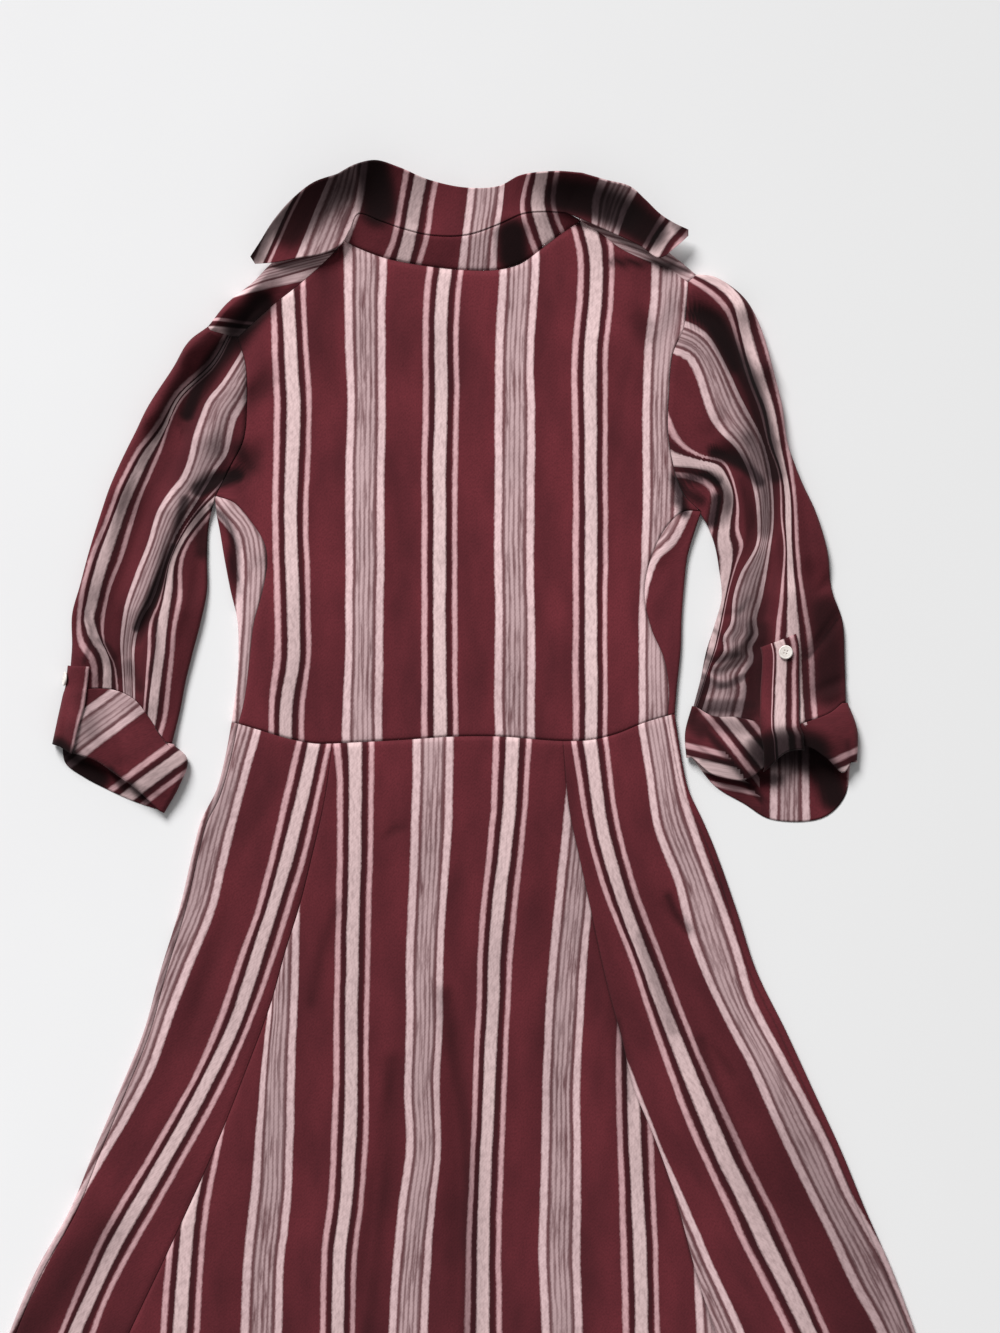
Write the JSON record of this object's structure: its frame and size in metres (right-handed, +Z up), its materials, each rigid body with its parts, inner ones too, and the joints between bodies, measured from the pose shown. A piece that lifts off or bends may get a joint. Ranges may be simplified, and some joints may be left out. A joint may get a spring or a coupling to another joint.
{
  "type": "shirt dress",
  "caption": "Striped shirt dress laid flat on its front: open collar, rolled elbow sleeves with button tabs, waist seam and flared panelled skirt.",
  "frame": {"origin": "middle of the underside that rests on the floor", "axes": "+Y from the hem to the collar, +X to the right as seen from above with the collar away, +Z up through the cloth to the back of the dress"},
  "size_m": [0.933, 1.254, 0.0379],
  "materials": {
    "striped_cloth": "soft matt weave, burgundy with cream and pink stripes",
    "cuff_cloth": "the same striped cloth, rolled up in layers",
    "collar_cloth": "the same striped cloth, two layers with a stiffening between them",
    "button": "pale, slightly glossy"
  },
  "bodies": {
    "root": {"back_bodice": "striped_cloth", "front_bodice_left": "striped_cloth", "front_bodice_right": "striped_cloth", "back_skirt_left": "striped_cloth", "back_skirt_center": "striped_cloth", "back_skirt_right": "striped_cloth", "front_skirt_left": "striped_cloth", "front_skirt_right": "striped_cloth", "sleeve_left": "striped_cloth", "sleeve_right": "striped_cloth", "front_placket": "striped_cloth", "cuff_left": "cuff_cloth", "cuff_right": "cuff_cloth", "tab_left": "cuff_cloth", "tab_right": "cuff_cloth", "collar_stand": "collar_cloth", "collar_leaf": "collar_cloth", "tab_button_left": "button", "tab_button_right": "button", "front_button_01": "button", "front_button_02": "button", "front_button_03": "button", "front_button_04": "button", "front_button_05": "button", "front_button_06": "button", "front_button_07": "button", "front_button_08": "button", "front_button_09": "button", "front_button_10": "button", "front_button_11": "button"}
  },
  "joints": []
}
